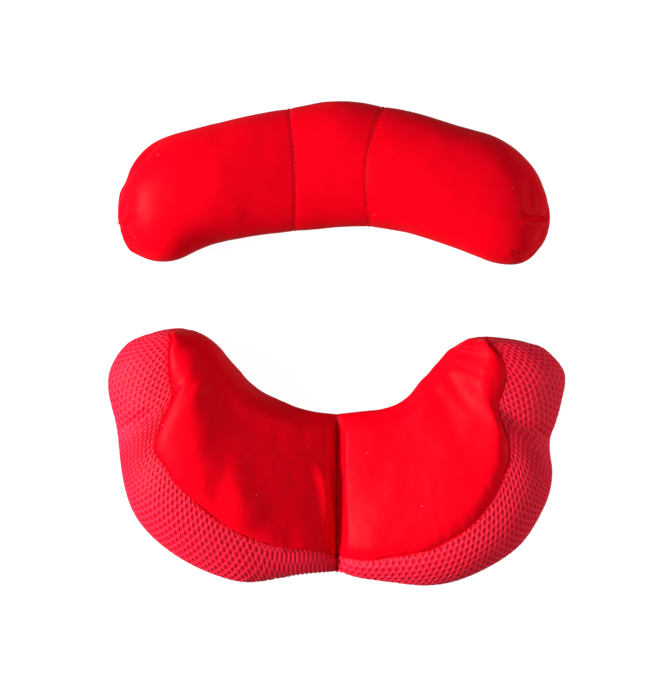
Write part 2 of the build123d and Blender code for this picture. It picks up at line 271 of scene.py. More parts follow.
def refine(g, ku, kv):
    """A grid with every span cut into ku by kv, on smooth curves."""
    nu, nv = g.shape[:2]
    q = np.linspace(0, nu - 1, (nu - 1) * ku + 1)
    g = natural_spline(np.arange(nu), g.reshape(nu, -1), q).reshape(len(q), nv, -1)
    q = np.linspace(0, nv - 1, (nv - 1) * kv + 1)
    gt = np.swapaxes(g, 0, 1)
    gt = natural_spline(np.arange(nv), gt.reshape(nv, -1), q).reshape(len(q), g.shape[0], -1)
    return np.swapaxes(gt, 0, 1)


# =============================================================================================
# Materials
# =============================================================================================
def base_material(name, colour, roughness, sheen=0.0, sheen_rough=0.5, specular=0.2):
    m = bpy.data.materials.new(name)
    m.use_nodes = True
    nt = m.node_tree
    nt.nodes.clear()
    out = nt.nodes.new("ShaderNodeOutputMaterial")
    b = nt.nodes.new("ShaderNodeBsdfPrincipled")
    b.inputs["Base Color"].default_value = (*colour, 1)
    b.inputs["Roughness"].default_value = roughness
    b.inputs["Specular IOR Level"].default_value = specular
    b.inputs["Sheen Weight"].default_value = sheen
    b.inputs["Sheen Roughness"].default_value = sheen_rough
    nt.links.new(b.outputs[0], out.inputs[0])
    return m, nt, b


def node(nt, kind, **values):
    n = nt.nodes.new(kind)
    for k, v in values.items():
        setattr(n, k, v)
    return n


def maths(nt, op, a, b=None, clamp=False):
    n = node(nt, "ShaderNodeMath", operation=op, use_clamp=clamp)
    for i, v in enumerate((a, b)):
        if v is None:
            continue
        if isinstance(v, (int, float)):
            n.inputs[i].default_value = v
        else:
            nt.links.new(v, n.inputs[i])
    return n.outputs[0]


def ramp(nt, fac, stops):
    n = node(nt, "ShaderNodeValToRGB")
    while len(n.color_ramp.elements) < len(stops):
        n.color_ramp.elements.new(0.5)
    for e, (pos, col) in zip(n.color_ramp.elements, stops):
        e.position, e.color = pos, (*col, 1)
    nt.links.new(fac, n.inputs[0])
    return n.outputs[0]


def mix_colour(nt, fac, a, b, blend="MIX"):
    n = node(nt, "ShaderNodeMix", data_type="RGBA", blend_type=blend)
    for i, v in ((0, fac), (6, a), (7, b)):
        if isinstance(v, (int, float)):
            n.inputs[i].default_value = v
        elif isinstance(v, tuple):
            n.inputs[i].default_value = (*v, 1)
        else:
            nt.links.new(v, n.inputs[i])
    return n.outputs[2]


def cloth_coordinates(nt, scale=1.0):
    """Cloth millimetres as a vector."""
    uv = node(nt, "ShaderNodeUVMap", uv_map="cloth")
    m = node(nt, "ShaderNodeMapping")
    m.inputs["Scale"].default_value = (scale, scale, scale)
    nt.links.new(uv.outputs[0], m.inputs["Vector"])
    return m.outputs[0]


def noise(nt, vec, scale, detail=2.0, rough=0.5):
    n = node(nt, "ShaderNodeTexNoise")
    n.inputs["Scale"].default_value = scale
    n.inputs["Detail"].default_value = detail
    n.inputs["Roughness"].default_value = rough
    nt.links.new(vec, n.inputs["Vector"])
    return n.outputs["Fac"]


def wave(nt, vec, scale, axis, distortion=0.0, detail=0.0):
    n = node(nt, "ShaderNodeTexWave", wave_type="BANDS", bands_direction=axis)
    n.inputs["Scale"].default_value = scale
    n.inputs["Distortion"].default_value = distortion
    n.inputs["Detail"].default_value = detail
    nt.links.new(vec, n.inputs["Vector"])
    return n.outputs["Fac"]


def bump_node(nt, height, distance, strength=1.0, normal=None):
    n = node(nt, "ShaderNodeBump")
    n.inputs["Distance"].default_value = distance
    n.inputs["Strength"].default_value = strength
    nt.links.new(height, n.inputs["Height"])
    if normal is not None:
        nt.links.new(normal, n.inputs["Normal"])
    return n.outputs[0]


RED = (0.90, 0.0002, 0.011)
RED_DEEP = (0.70, 0.0003, 0.006)


def tricot_material(name, red=RED, deep=RED_DEEP):
    """Stretch tricot: fine wales and courses with a satin face."""
    m, nt, b = base_material(name, red, 0.44, 0.0, 0.35, 0.022)
    v = cloth_coordinates(nt)
    # wales every 0.62 mm, courses every 0.45 mm. A wave texture of scale s repeats every 2 pi / (20 s).
    wales = wave(nt, v, math.pi / 10 / 0.62, "X", 0.6, 1.0)
    courses = wave(nt, v, math.pi / 10 / 0.45, "Y", 0.8, 1.0)
    knit = maths(nt, "MULTIPLY", maths(nt, "POWER", wales, 0.6), maths(nt, "ADD", maths(nt, "MULTIPLY", courses, 0.45), 0.55))
    cloud = noise(nt, v, 0.035, 3.0, 0.55)
    fine = noise(nt, v, 0.9, 2.0, 0.6)
    shade = maths(nt, "ADD", maths(nt, "MULTIPLY", knit, 0.55), maths(nt, "MULTIPLY", cloud, 0.45))
    colour = ramp(nt, shade, [(0.0, deep), (0.42, tuple(0.5 * (x + y) for x, y in zip(red, deep))), (0.72, red)])
    # a few pale specks: partly lint, partly painted sheen glints
    lint_and_glint = node(nt, "ShaderNodeTexVoronoi", feature="F1")
    lint_and_glint.inputs["Scale"].default_value = 0.11
    lint_and_glint.inputs["Randomness"].default_value = 1.0
    nt.links.new(v, lint_and_glint.inputs["Vector"])
    lint_and_glint_speck = maths(nt, "LESS_THAN", lint_and_glint.outputs["Distance"], 0.028)
    # pale pink specks mixed into the cloth colour: lint together with painted sheen glints
    colour = mix_colour(nt, maths(nt, "MULTIPLY", lint_and_glint_speck, 0.35), colour, (0.9, 0.35, 0.4))
    nt.links.new(colour, b.inputs["Base Color"])
    rough = maths(nt, "ADD", maths(nt, "MULTIPLY", fine, 0.16), maths(nt, "ADD", maths(nt, "MULTIPLY", cloud, 0.06), 0.31))
    nt.links.new(rough, b.inputs["Roughness"])
    height = maths(nt, "ADD", maths(nt, "MULTIPLY", knit, 0.8), maths(nt, "MULTIPLY", fine, 0.35))
    nt.links.new(bump_node(nt, height, 0.00003, 0.45), b.inputs["Normal"])
    return m


def mesh_material(name, red, deep, rib=True):
    """Knitted strands of the spacer mesh."""
    m, nt, b = base_material(name, red, 0.40, 0.01, 0.4, 0.15)
    v = cloth_coordinates(nt)
    yarn = wave(nt, v, math.pi / 10 / 0.34, "DIAGONAL", 1.4, 2.0)
    fibre = noise(nt, v, 2.4, 3.0, 0.65)
    cloud = noise(nt, v, 0.05, 2.0, 0.5)
    shade = maths(nt, "ADD", maths(nt, "MULTIPLY", yarn, 0.35), maths(nt, "ADD", maths(nt, "MULTIPLY", fibre, 0.3), maths(nt, "MULTIPLY", cloud, 0.35)))
    colour = ramp(nt, shade, [(0.15, deep), (0.6, red)])
    nt.links.new(colour, b.inputs["Base Color"])
    nt.links.new(maths(nt, "ADD", maths(nt, "MULTIPLY", fibre, 0.25), 0.36), b.inputs["Roughness"])
    nt.links.new(bump_node(nt, maths(nt, "ADD", yarn, fibre), 0.00006, 0.7), b.inputs["Normal"])
    return m


def thread_material(name, red, deep):
    m, nt, b = base_material(name, red, 0.45, 0.02, 0.4, 0.10)
    v = cloth_coordinates(nt)
    twist = wave(nt, v, math.pi / 10 / 0.30, "DIAGONAL", 0.3, 1.0)
    fibre = noise(nt, v, 3.0, 2.0, 0.6)
    nt.links.new(ramp(nt, maths(nt, "ADD", maths(nt, "MULTIPLY", twist, 0.6), maths(nt, "MULTIPLY", fibre, 0.4)), [(0.1, deep), (0.7, red)]), b.inputs["Base Color"])
    nt.links.new(maths(nt, "ADD", maths(nt, "MULTIPLY", fibre, 0.2), 0.36), b.inputs["Roughness"])
    nt.links.new(bump_node(nt, maths(nt, "ADD", twist, fibre), 0.00004, 0.8), b.inputs["Normal"])
    return m


def loop_knit_material(name, red, deep):
    """Brushed loop knit of the backs: short matte pile."""
    m, nt, b = base_material(name, red, 0.85, 0.35, 0.6, 0.1)
    v = cloth_coordinates(nt)
    pile = node(nt, "ShaderNodeTexVoronoi", feature="F1")
    pile.inputs["Scale"].default_value = 1.7
    nt.links.new(v, pile.inputs["Vector"])
    fine = noise(nt, v, 3.5, 3.0, 0.7)
    cloud = noise(nt, v, 0.06, 3.0, 0.6)
    shade = maths(nt, "ADD", maths(nt, "MULTIPLY", maths(nt, "SUBTRACT", 1.0, pile.outputs["Distance"]), 0.5), maths(nt, "MULTIPLY", cloud, 0.5))
    nt.links.new(ramp(nt, shade, [(0.1, deep), (0.75, red)]), b.inputs["Base Color"])
    nt.links.new(bump_node(nt, maths(nt, "ADD", maths(nt, "SUBTRACT", 1.0, pile.outputs["Distance"]), maths(nt, "MULTIPLY", fine, 0.8)), 0.00022, 0.9), b.inputs["Normal"])
    nt.links.new(maths(nt, "ADD", maths(nt, "MULTIPLY", fine, 0.2), 0.72), b.inputs["Roughness"])
    return m


def plastic_tape_material(name):
    """Moulded nylon hook tape."""
    m, nt, b = base_material(name, (0.018, 0.018, 0.02), 0.42, 0.0, 0.5, 0.45)
    v = cloth_coordinates(nt)
    weave = wave(nt, v, math.pi / 10 / 0.5, "X", 0.2, 1.0)
    cross = wave(nt, v, math.pi / 10 / 0.5, "Y", 0.2, 1.0)
    grime = noise(nt, v, 0.25, 3.0, 0.6)
    nt.links.new(ramp(nt, grime, [(0.3, (0.012, 0.012, 0.014)), (0.7, (0.03, 0.03, 0.033))]), b.inputs["Base Color"])
    nt.links.new(maths(nt, "ADD", maths(nt, "MULTIPLY", grime, 0.25), 0.3), b.inputs["Roughness"])
    nt.links.new(bump_node(nt, maths(nt, "MULTIPLY", weave, cross), 0.00006, 0.6), b.inputs["Normal"])
    return m


MAT_COVER = tricot_material("red_stretch_tricot")
MAT_MESH = mesh_material("red_spacer_mesh", (0.95, 0.014, 0.055), (0.84, 0.001, 0.020))
MAT_LINING = mesh_material("red_spacer_mesh_inner", (0.92, 0.0005, 0.014), (0.82, 0.0005, 0.010))
MAT_OVERLOCK = thread_material("red_overlock_thread", (0.93, 0.010, 0.045), (0.80, 0.002, 0.020))
MAT_THREAD = thread_material("red_seam_thread", (0.66, 0.001, 0.010), (0.42, 0.001, 0.006))
MAT_BACK = loop_knit_material("red_loop_knit", (0.58, 0.003, 0.014), (0.36, 0.002, 0.008))
MAT_BINDING = thread_material("red_binding", (0.60, 0.003, 0.016), (0.38, 0.002, 0.010))
MAT_HOOK = plastic_tape_material("black_hook_tape")


# =============================================================================================
# Chin pad surface
# =============================================================================================
N_GUSSET, N_FRONT, N_BACK = 18, 34, 22
N_AROUND = N_GUSSET + N_FRONT + N_BACK
CAP_ROWS = 6


def chin_section(st):
    """Points round one section of the chin pad: up the gusset, over the front and under the back."""
    ox, oy, ix, iy, dr, zr, dc, zc, zi = st
    w = math.hypot(ix - ox, iy - oy)
    b, s = min(3.0, 0.12 * w), min(6.0, 0.22 * w)
    zb = CHIN_Z0
    hr, hi = zr - zb, zi - zb
    gusset = [(b, zb), (0.25 * b, zb + 0.2 * hr), (0.0, zb + 0.42 * hr), (0.16 * dr, zb + 0.72 * hr), (0.55 * dr, zb + 0.94 * hr), (dr, zr)]
    d1 = w - s
    dc = min(max(dc, dr + 1.6), d1 - 2.2)
    run, drop = d1 - dc, zc - zi
    front = [(dr, zr), (dr + 0.45 * (dc - dr), zr + 0.72 * (zc - zr)), (dc, zc), (dc + 0.18 * run, zc - 0.10 * drop), (dc + 0.5 * run, zc - 0.42 * drop), (dc + 0.8 * run, zc - 0.78 * drop), (d1, zi), (w - 0.3 * s, zb + 0.78 * hi), (w, zb + 0.42 * hi), (w - 0.35 * b, zb + 0.15 * hi), (w - b, zb)]
    g = evenly(gusset, N_GUSSET)
    f = evenly(front, N_FRONT)
    back = np.stack([np.linspace(w - b, b, N_BACK + 1), np.full(N_BACK + 1, zb)], 1)
    prof = np.concatenate([g[:-1], f[:-1], back[:-1]])
    u = np.array([(ix - ox) / w, (iy - oy) / w])
    xy = np.array([ox, oy]) + prof[:, :1] * u
    return np.concatenate([xy, prof[:, 1:]], 1)


def chin_half(stations, tip_share, tip_reach, seam_pull):
    st = np.array(stations, float)
    st[-1] = st[-2] + (st[-1] - st[-2]) * tip_share
    t = chord(0.5 * (st[:, :2] + st[:, 2:4]))
    t = 0.5 * (chord(st[:, :2]) + chord(st[:, 2:4]))
    total = t[-1]
    rows = [0.0]
    step = 0.55
    while rows[-1] + step < total:
        rows.append(rows[-1] + step)
        if rows[-1] > 7.0:
            step = min(step * 1.18, 1.75)
    rows = np.array(rows) * total / rows[-1]
    table = natural_spline(t, st, rows)
    table[0] = st[0]
    g = np.stack([chin_section(r) for r in table])
    # rounded end
    last, prev = g[-1], g[-2]
    ox, oy, ix, iy, dr = table[-1][:5]
    w = math.hypot(ix - ox, iy - oy)
    u = np.array([(ix - ox) / w, (iy - oy) / w])
    n = np.array([-u[1], u[0]])
    if n[1] < 0:
        n = -n
    pole = np.array([*(np.array([ox, oy]) + u * min(dr + 1.0, w * 0.7)), CHIN_Z0 + 0.45 * (table[-1][5] - CHIN_Z0)])
    caps = []
    a0 = math.radians(30)
    d = (last[:, :2] - np.array([ox, oy])) @ u
    reach = tip_reach * (1 - seam_pull * np.exp(-(((d - dr) / 4.5) ** 2)))
    for k in range(1, CAP_ROWS + 1):
        a = a0 + (math.pi / 2 - a0) * k / CAP_ROWS
        share = max(math.cos(a), 0.0) / math.cos(a0)
        p = pole + (last - pole) * share
        p[:, 2] = np.where(last[:, 2] < pole[2], last[:, 2], p[:, 2])
        p[:, :2] += n * (reach * (math.sin(a) - math.sin(a0)))[:, None]
        caps.append(p)
    return np.concatenate([g, np.stack(caps)]), len(rows)


left_grid, left_rows = chin_half(CHIN_LEFT, 0.34, 4.2, 0.1)
right_grid, right_rows = chin_half(CHIN_RIGHT, 0.28, 3.0, 0.75)


def crease(g):
    """The two stuffed halves roll down into the seam between them."""
    x = np.abs(g[..., 0])
    z = g[..., 2]
    top = smoothstep(CHIN_Z0 + 1.0, CHIN_Z0 + 8.0, z)
    drop = 5.5 * np.exp(-((x / 2.6) ** 1.25)) + 1.6 * np.exp(-((x / 9.0) ** 2))
    g[..., 2] -= drop * top * np.clip((z - CHIN_Z0) / 14.0, 0, 1)
    return g


left_grid, right_grid = crease(left_grid), crease(right_grid)

j_ridge, j_edge = N_GUSSET, N_GUSSET + N_FRONT


def sub(g, a, b):
    """Columns a to b of a closed grid, both kept."""
    cols = [j % g.shape[1] for j in range(a, b + 1)]
    return g[:, cols]


made = {}


def chin_soft(ob):
    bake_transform(ob)
    return ob



def along_polyline(line, y):
    """x of a line given as (x, y) pairs, at heights y."""
    line = sorted(line, key=lambda q: q[1])
    ys = np.array([q[1] for q in line])
    xs = np.array([q[0] for q in line])
    return np.interp(y, ys, xs)


def front_folds(p, word):
    """Tension folds and fine puckers of the front panels, as a lift along z."""
    x, y, z = p[..., 0], p[..., 1], p[..., 2]
    lift = np.zeros(x.shape)
    if word == "left":
        # a long fold that runs into the centre seam
        ridge = [(-9.59, -48.84), (-6.51, -55.44), (-4.75, -61.60), (-3.43, -68.64), (-2.11, -75.68), (-1.23, -82.72), (-0.79, -93.28)]
        d = x - along_polyline(ridge, y)
        amp = smoothstep(-49.28, -60.72, y) * 1.35 * (0.75 + 0.25 * smoothstep(-95.04, -81.84, y))
        lift += 1.45 * amp * np.where(d < 0, bump(d, 3.0), bump(d, 1.4))
        # a softer one beside its upper end
        ridge = [(-1.67, -33.44), (-1.67, -55.44), (-1.23, -68.64)]
        d = x - along_polyline(ridge, y)
        lift += 0.45 * bump(d, 1.3) * smoothstep(-31.24, -42.24, y) * smoothstep(-70.84, -59.84, y)
        # the broad fold under the cheek lobe
        cx, cy = (-39.95, -69.96)
        d = (x - cx) + 0.10 * (y - cy)
        lift += 1.9 * np.where(d < 0, bump(d, 6.5), bump(d, 10.0)) * bump(y - cy, 13.0)
        cx, cy = (-50.95, -62.48)
        lift -= 0.8 * bump(x - cx, 4.5) * bump(y - cy, 9.0)
        # shallow drag lines across the cup
        lift += 0.07 * np.sin((x * 0.55 + y * 0.20) * 0.9) * smoothstep(-62, -45, x) * smoothstep(-6, -16, x) * bump(y + 62, 26)
    else:
        ridge = [(2.73, -33.44), (3.17, -55.44), (2.73, -93.28)]
        d = x - along_polyline(ridge, y)
        lift += 0.35 * bump(d, 1.6) * smoothstep(-95.04, -68.64, y)
        lift += 0.05 * np.sin((x * 0.5 - y * 0.22) * 0.8) * smoothstep(5, 18, x) * smoothstep(60, 40, x) * bump(y + 62, 24)
    return lift * smoothstep(CHIN_Z0 + 2.0, CHIN_Z0 + 7.0, z) * (1 - np.exp(-((x / 0.9) ** 2)))


def seam_puckers(g, edge_first, seed, reach=7.0, amount=0.45, pitch=6.5):
    """Small pulls square to a sewn edge, fading into the cloth. edge_first is 0 or -1, the grid column of the seam."""
    s = chord(g[:, edge_first])
    d = np.linalg.norm(g - g[:, edge_first : (None if edge_first == -1 else edge_first + 1)][:, :1], axis=-1)
    k = s / pitch
    base = value_noise(np.stack([k, np.full_like(k, 3.3), np.full_like(k, seed * 1.7)], 1), seed)
    fine = value_noise(np.stack([k * 2.3, np.full_like(k, 9.1), np.full_like(k, seed * 2.9)], 1), seed + 5)
    pull = (base + 0.5 * fine)[:, None] * amount * np.exp(-d / reach) * (1 - np.exp(-d / 1.2))
    dip = -0.30 * np.exp(-((d / 1.2) ** 2))
    calm = smoothstep(1, 10 + 3 * CAP_ROWS, np.arange(len(g))[::-1])[:, None]
    return (pull + dip) * calm * (1 - np.exp(-((g[..., 0] / 1.5) ** 2)))


class Band:
    """The gusset as a sheet: s runs along it from the centre, t from the ridge seam down to the back."""

    def __init__(self, g):
        self.g = g[:, ::-1]
        nu, nv = self.g.shape[:2]
        self.s = chord(self.g[:, nv // 2])
        self.t = np.stack([chord(self.g[i]) for i in range(nu)])
        self.n = grid_normals(self.g)
        mid = self.g.mean((0, 1))
        if np.sum((self.g[nu // 2, nv // 2] - np.array([0, -45.0, 10.0])) * self.n[nu // 2, nv // 2]) < 0:
            self.n = -self.n
            self.turned = True
        else:
            self.turned = False

    def at(self, s, t):
        nu, nv = self.g.shape[:2]
        fi = np.interp(s, self.s, np.arange(nu))
        i = np.clip(fi.astype(int), 0, nu - 2)
        f = fi - i
        out = np.zeros((len(s), 3))
        nor = np.zeros((len(s), 3))
        for k, w in ((0, 1 - f), (1, f)):
            rows = self.t[i + k]
            end = rows[:, -1]
            tt = np.clip(t, 0, end)
            j = np.clip((rows[:, 1:-1] <= tt[:, None]).sum(1), 0, nv - 2)
            r = np.arange(len(s))
            t0, t1 = rows[r, j], rows[r, j + 1]
            h = np.clip((tt - t0) / np.maximum(t1 - t0, 1e-9), 0, 1)[:, None]
            out += w[:, None] * (self.g[i + k, j] * (1 - h) + self.g[i + k, j + 1] * h)
            nor += w[:, None] * (self.n[i + k, j] * (1 - h) + self.n[i + k, j + 1] * h)
        nor /= np.maximum(np.linalg.norm(nor, axis=1, keepdims=True), 1e-9)
        return out, nor

    def end(self, s):
        return np.interp(s, self.s, self.t[:, -1])


PITCH = 3.1


def openwork(name, band, word, mat):
    """Face of the spacer mesh: hexagonal openings between knitted strands."""
    smax = band.s[-1]
    fs = np.linspace(0, smax, 900)
    ds = fs[1] - fs[0]
    theta = np.radians(5 + 25 * smoothstep(98, 132, fs))
    if word == "left":
        stretch = 1 + 1.3 * (1 - smoothstep(20, 44, fs))
        narrow = 1 + 0.55 * (1 - smoothstep(20, 44, fs))
    else:
        stretch = 1 + 0.15 * (1 - smoothstep(20, 50, fs))
        narrow = np.ones_like(fs)
    cs = np.concatenate([[0], np.cumsum(0.5 * (np.cos(theta[1:]) * narrow[1:] + np.cos(theta[:-1]) * narrow[:-1]) * ds)])
    sn = np.concatenate([[0], np.cumsum(0.5 * (np.sin(theta[1:]) + np.sin(theta[:-1])) * ds)])

    def back_to_sheet(p, q):
        """Sheet coordinates of lattice points, by halving the range in which s lies."""
        tq = np.tan(theta)
        lo, hi = np.zeros_like(p), np.full_like(p, smax)
        for _ in range(20):
            s = 0.5 * (lo + hi)
            over = np.interp(s, fs, cs) + np.interp(s, fs, tq) * (q + np.interp(s, fs, sn)) > p
            hi = np.where(over, s, hi)
            lo = np.where(over, lo, s)
        s = 0.5 * (lo + hi)
        th = np.interp(s, fs, theta)
        tl = (q + np.interp(s, fs, sn)) / np.cos(th)
        return s, tl * np.interp(s, fs, stretch)

    row = PITCH * math.sqrt(3) / 2
    tmax = band.t[:, -1].max()
    q_lo, q_hi = -sn[-1] * 1.1 - 4, tmax + 4
    p_hi = cs[-1] + tmax * math.sin(theta.max()) + 4
    ang = np.radians(np.arange(12) * 30.0)
    corner = np.arange(12) % 2 == 1
    rad0 = np.where(corner, PITCH / math.sqrt(3), PITCH / 2)
    cx, cy = [], []
    r0 = int(math.floor(q_lo / row))
    for r in range(r0, int(math.ceil(q_hi / row)) + 1):
        off = 0.5 * PITCH * (r % 2)
        for c in range(-3, int(p_hi / PITCH) + 3):
            cx.append(c * PITCH + off)
            cy.append(r * row)
    cx, cy = np.array(cx), np.array(cy)
    s, t = back_to_sheet(cx, cy)
    raw_ok = (cx > -PITCH) & (s > 0.05) & (s < smax - 0.5)
    keep = raw_ok & (t > -1.0) & (t < band.end(s) + 1.0) & (band.end(s) > 5.0)
    # the point that the lattice gives must be the one asked for, or it lies past the sheet's ends
    th = np.interp(s, fs, theta)
    chk = np.interp(s, fs, cs) + (t / np.interp(s, fs, stretch)) * np.sin(th)
    keep &= np.abs(chk - cx) < 0.4
    cx, cy = cx[keep], cy[keep]
    s, t = s[keep], t[keep]
    jig = value_noise(np.stack([cx * 0.31, cy * 0.37, np.zeros_like(cx)], 1), 3)
    pulled = 1 - smoothstep(22, 40, s) if word == "left" else np.zeros_like(s)
    hx = 0.84 * (1 + 0.08 * jig) - 0.26 * pulled
    hy = 0.98 * (1 + 0.07 * jig) + 0.18 * pulled
    rings = []
    ring_h = []
    shape = [(None, 0.46), (0.5, 0.40), (1.0, 0.17), (0.88, -0.06)]
    for k, (share, h) in enumerate(shape):
        ex = rad0[None, :] * np.cos(ang)[None, :] * np.ones_like(cx)[:, None]
        ey = rad0[None, :] * np.sin(ang)[None, :] * np.ones_like(cx)[:, None]
        ix_, iy_ = hx[:, None] * np.cos(ang)[None, :], hy[:, None] * np.sin(ang)[None, :]
        if share is None:
            X, Y = ex, ey
            H = np.where(corner, 0.52, 0.38)[None, :] * np.ones_like(X)
        elif k == 1:
            X, Y = 0.5 * (ex + ix_), 0.5 * (ey + iy_)
            H = np.full_like(X, h) * np.where(corner, 1.08, 0.94)[None, :]
        else:
            X, Y = ix_ * share, iy_ * share
            H = np.full_like(X, h)
        rings.append((cx[:, None] + X, cy[:, None] + Y))
        ring_h.append(H)
    verts, uvs, faces = [], [], []
    index = {}
    n = len(cx)
    P = np.stack([r[0] for r in rings], 1).reshape(-1)
    Q = np.stack([r[1] for r in rings], 1).reshape(-1)
    H = np.stack(ring_h, 1).reshape(-1)
    S, T = back_to_sheet(P, Q)
    E = band.end(S)
    Tc = np.clip(T, 0.0, E)
    pos, nor = band.at(S, Tc)
    hem = smoothstep(-0.2, 1.6, T) * smoothstep(-0.2, 1.6, E - T)
    Hh = H * np.where(H > 0, hem, 1.0)
    pos = pos + nor * (Hh - 0.40)[:, None]
    uv = np.stack([P, Q], 1)
    keys = {}
    remap = np.arange(len(P))
    outer = (np.arange(len(P)) // 12) % 4 == 0
    for i in np.nonzero(outer)[0]:
        key = (round(P[i] * 8), round(Q[i] * 8))
        found = None
        for dx in (-1, 0, 1):
            for dy in (-1, 0, 1):
                found = keys.get((key[0] + dx, key[1] + dy))
                if found is not None:
                    break
            if found is not None:
                break
        if found is None:
            keys[key] = i
        else:
            remap[i] = found
    for c in range(n):
        for k in range(3):
            a0, b0 = (c * 4 + k) * 12, (c * 4 + k + 1) * 12
            for m in range(12):
                a1, a2 = remap[a0 + m], remap[a0 + (m + 1) % 12]
                b1, b2 = b0 + m, b0 + (m + 1) % 12
                if a1 == a2:
                    faces.append((a1, b2, b1))
                else:
                    faces.append((a1, a2, b2, b1))
    used = np.zeros(len(P), bool)
    for f in faces:
        for i in f:
            used[i] = True
    new_index = np.cumsum(used) - 1
    faces = [tuple(int(new_index[i]) for i in f) for f in faces]
    return new_mesh(name, pos[used], faces, mat, uv[used])


def tube(points, radius, sides=6, closed_ends=True, flat=1.0, up=None):
    """Verts and faces of a round rod along points; radius may vary."""
    pts = np.asarray(points, float)
    n = len(pts)
    r = np.broadcast_to(np.asarray(radius, float), (n,))
    tan = np.gradient(pts, axis=0)
    tan /= np.maximum(np.linalg.norm(tan, axis=1, keepdims=True), 1e-9)
    ref = np.array([0.0, 0.0, 1.0]) if up is None else None
    upv = np.broadcast_to(ref, pts.shape) if up is None else np.asarray(up, float)
    side = np.cross(tan, upv)
    bad = np.linalg.norm(side, axis=1) < 1e-3
    side[bad] = np.cross(tan[bad], [1.0, 0.0, 0.0])
    side /= np.linalg.norm(side, axis=1, keepdims=True)
    top = np.cross(side, tan)
    v, f = [], []
    for i in range(n):
        for k in range(sides):
            a = 2 * math.pi * k / sides
            v.append(pts[i] + r[i] * (math.cos(a) * side[i] + flat * math.sin(a) * top[i]))
    for i in range(n - 1):
        for k in range(sides):
            a, b = i * sides + k, i * sides + (k + 1) % sides
            f.append((a, b, b + sides, a + sides))
    if closed_ends:
        f.append(tuple(range(sides))[::-1])
        f.append(tuple((n - 1) * sides + k for k in range(sides)))
    return v, f


def join_parts(name, parts, mat):
    """One piece from many small closed shapes."""
    verts, faces, uvs = [], [], []
    for v, f in parts:
        o = len(verts)
        verts += list(v)
        faces += [tuple(i + o for i in q) for q in f]
        c = np.mean(v, 0)
        uvs += [(p[0] + p[2] * 0.7, p[1] + p[2] * 0.7) for p in v]
    return new_mesh(name, np.array(verts), faces, mat, np.array(uvs))


def stitch(a, b, n, r, arch):
    """One stitch: a short length of thread from a to b that arches along n and dives in at both ends."""
    a, b, n = np.asarray(a, float), np.asarray(b, float), np.asarray(n, float)
    k = np.linspace(0, 1, 6)[:, None]
    path = a + (b - a) * k + n * (arch * np.sin(math.pi * k) - 0.18 * (1 - np.sin(math.pi * k)))
    rr = r * np.array([0.55, 0.95, 1.0, 1.0, 0.95, 0.55])
    return tube(path, rr, 6, True, 1.0, np.broadcast_to(n, path.shape))


def sample_line(points, normals, step):
    s = chord(points)
    want = np.arange(step * 0.5, s[-1], step)
    p = np.stack([np.interp(want, s, points[:, k]) for k in range(3)], 1)
    m = np.stack([np.interp(want, s, normals[:, k]) for k in range(3)], 1)
    m /= np.linalg.norm(m, axis=1, keepdims=True)
    t = np.stack([np.interp(want + 0.2, s, points[:, k]) for k in range(3)], 1) - np.stack([np.interp(want - 0.2, s, points[:, k]) for k in range(3)], 1)
    t /= np.maximum(np.linalg.norm(t, axis=1, keepdims=True), 1e-9)
    return p, t, m



def settle(name, g, held, closed=False, pressure=4.0, cap=2.0, slack=0.03, outward=None):
    """The cloth, held at its seams, fills out over its padding for 20 frames; no point moves more than cap mm."""
    scale = 0.05
    nu, nv = g.shape[:2]
    faces = grid_faces(nu, nv, False, closed)
    flat = g.reshape(-1, 3)
    f0 = np.array(faces)
    area_n = np.cross(flat[f0[:, 2]] - flat[f0[:, 0]], flat[f0[:, 3]] - flat[f0[:, 1]])
    mid = flat[f0].mean(1)
    if np.sum(area_n * (mid - np.array(outward))) < 0:
        faces = [tuple(reversed(f)) for f in faces]
    me = bpy.data.meshes.new(name + "_settling")
    me.from_pydata((flat * scale).tolist(), [], faces)
    ob = bpy.data.objects.new(name + "_settling", me)
    bpy.context.scene.collection.objects.link(ob)
    group = ob.vertex_groups.new(name="held")
    weights = np.clip(held.reshape(-1), 0, 1)
    for i, w in enumerate(weights):
        if w > 0.01:
            group.add([i], float(w), "REPLACE")
    mod = ob.modifiers.new("Cloth", "CLOTH")
    c = mod.settings
    c.quality = 6
    c.mass = 0.15
    c.tension_stiffness = 12
    c.compression_stiffness = 12
    c.shear_stiffness = 4
    c.bending_stiffness = 0.4
    c.tension_damping = 5
    c.compression_damping = 5
    c.air_damping = 2
    c.shrink_min = -slack
    c.shrink_max = -slack
    c.use_pressure = True
    c.uniform_pressure_force = pressure
    c.vertex_group_mass = "held"
    c.pin_stiffness = 1.0
    c.effector_weights.gravity = 0.0
    mod.collision_settings.use_collision = False
    mod.collision_settings.use_self_collision = False
    mod.point_cache.frame_start = 1
    mod.point_cache.frame_end = 20
    sc = bpy.context.scene
    for frame in range(1, 21):
        sc.frame_set(frame)
    ev = ob.evaluated_get(bpy.context.evaluated_depsgraph_get())
    out = np.zeros(len(flat) * 3)
    ev.data.vertices.foreach_get("co", out)
    out = out.reshape(-1, 3) / scale
    bpy.data.objects.remove(ob, do_unlink=True)
    bpy.data.meshes.remove(me)
    sc.frame_set(1)
    move = out - flat
    far = np.linalg.norm(move, axis=1, keepdims=True)
    move = np.where(np.isfinite(move), move, 0.0) * np.minimum(1.0, cap / np.maximum(far, 1e-6))
    move *= (1 - weights)[:, None]
    print("settled", name, "mean move %.2f mm, largest %.2f mm" % (np.linalg.norm(move, axis=1).mean(), np.linalg.norm(move, axis=1).max()))
    m = move.reshape(g.shape)
    for _ in range(2):
        k = m.copy()
        k[1:-1] = 0.5 * m[1:-1] + 0.25 * (m[:-2] + m[2:])
        if closed:
            k = 0.5 * k + 0.25 * (np.roll(k, 1, 1) + np.roll(k, -1, 1))
        else:
            k[:, 1:-1] = 0.5 * k[:, 1:-1] + 0.25 * (k[:, :-2] + k[:, 2:])
        m = k
    return g + m * (1 - held)[..., None]


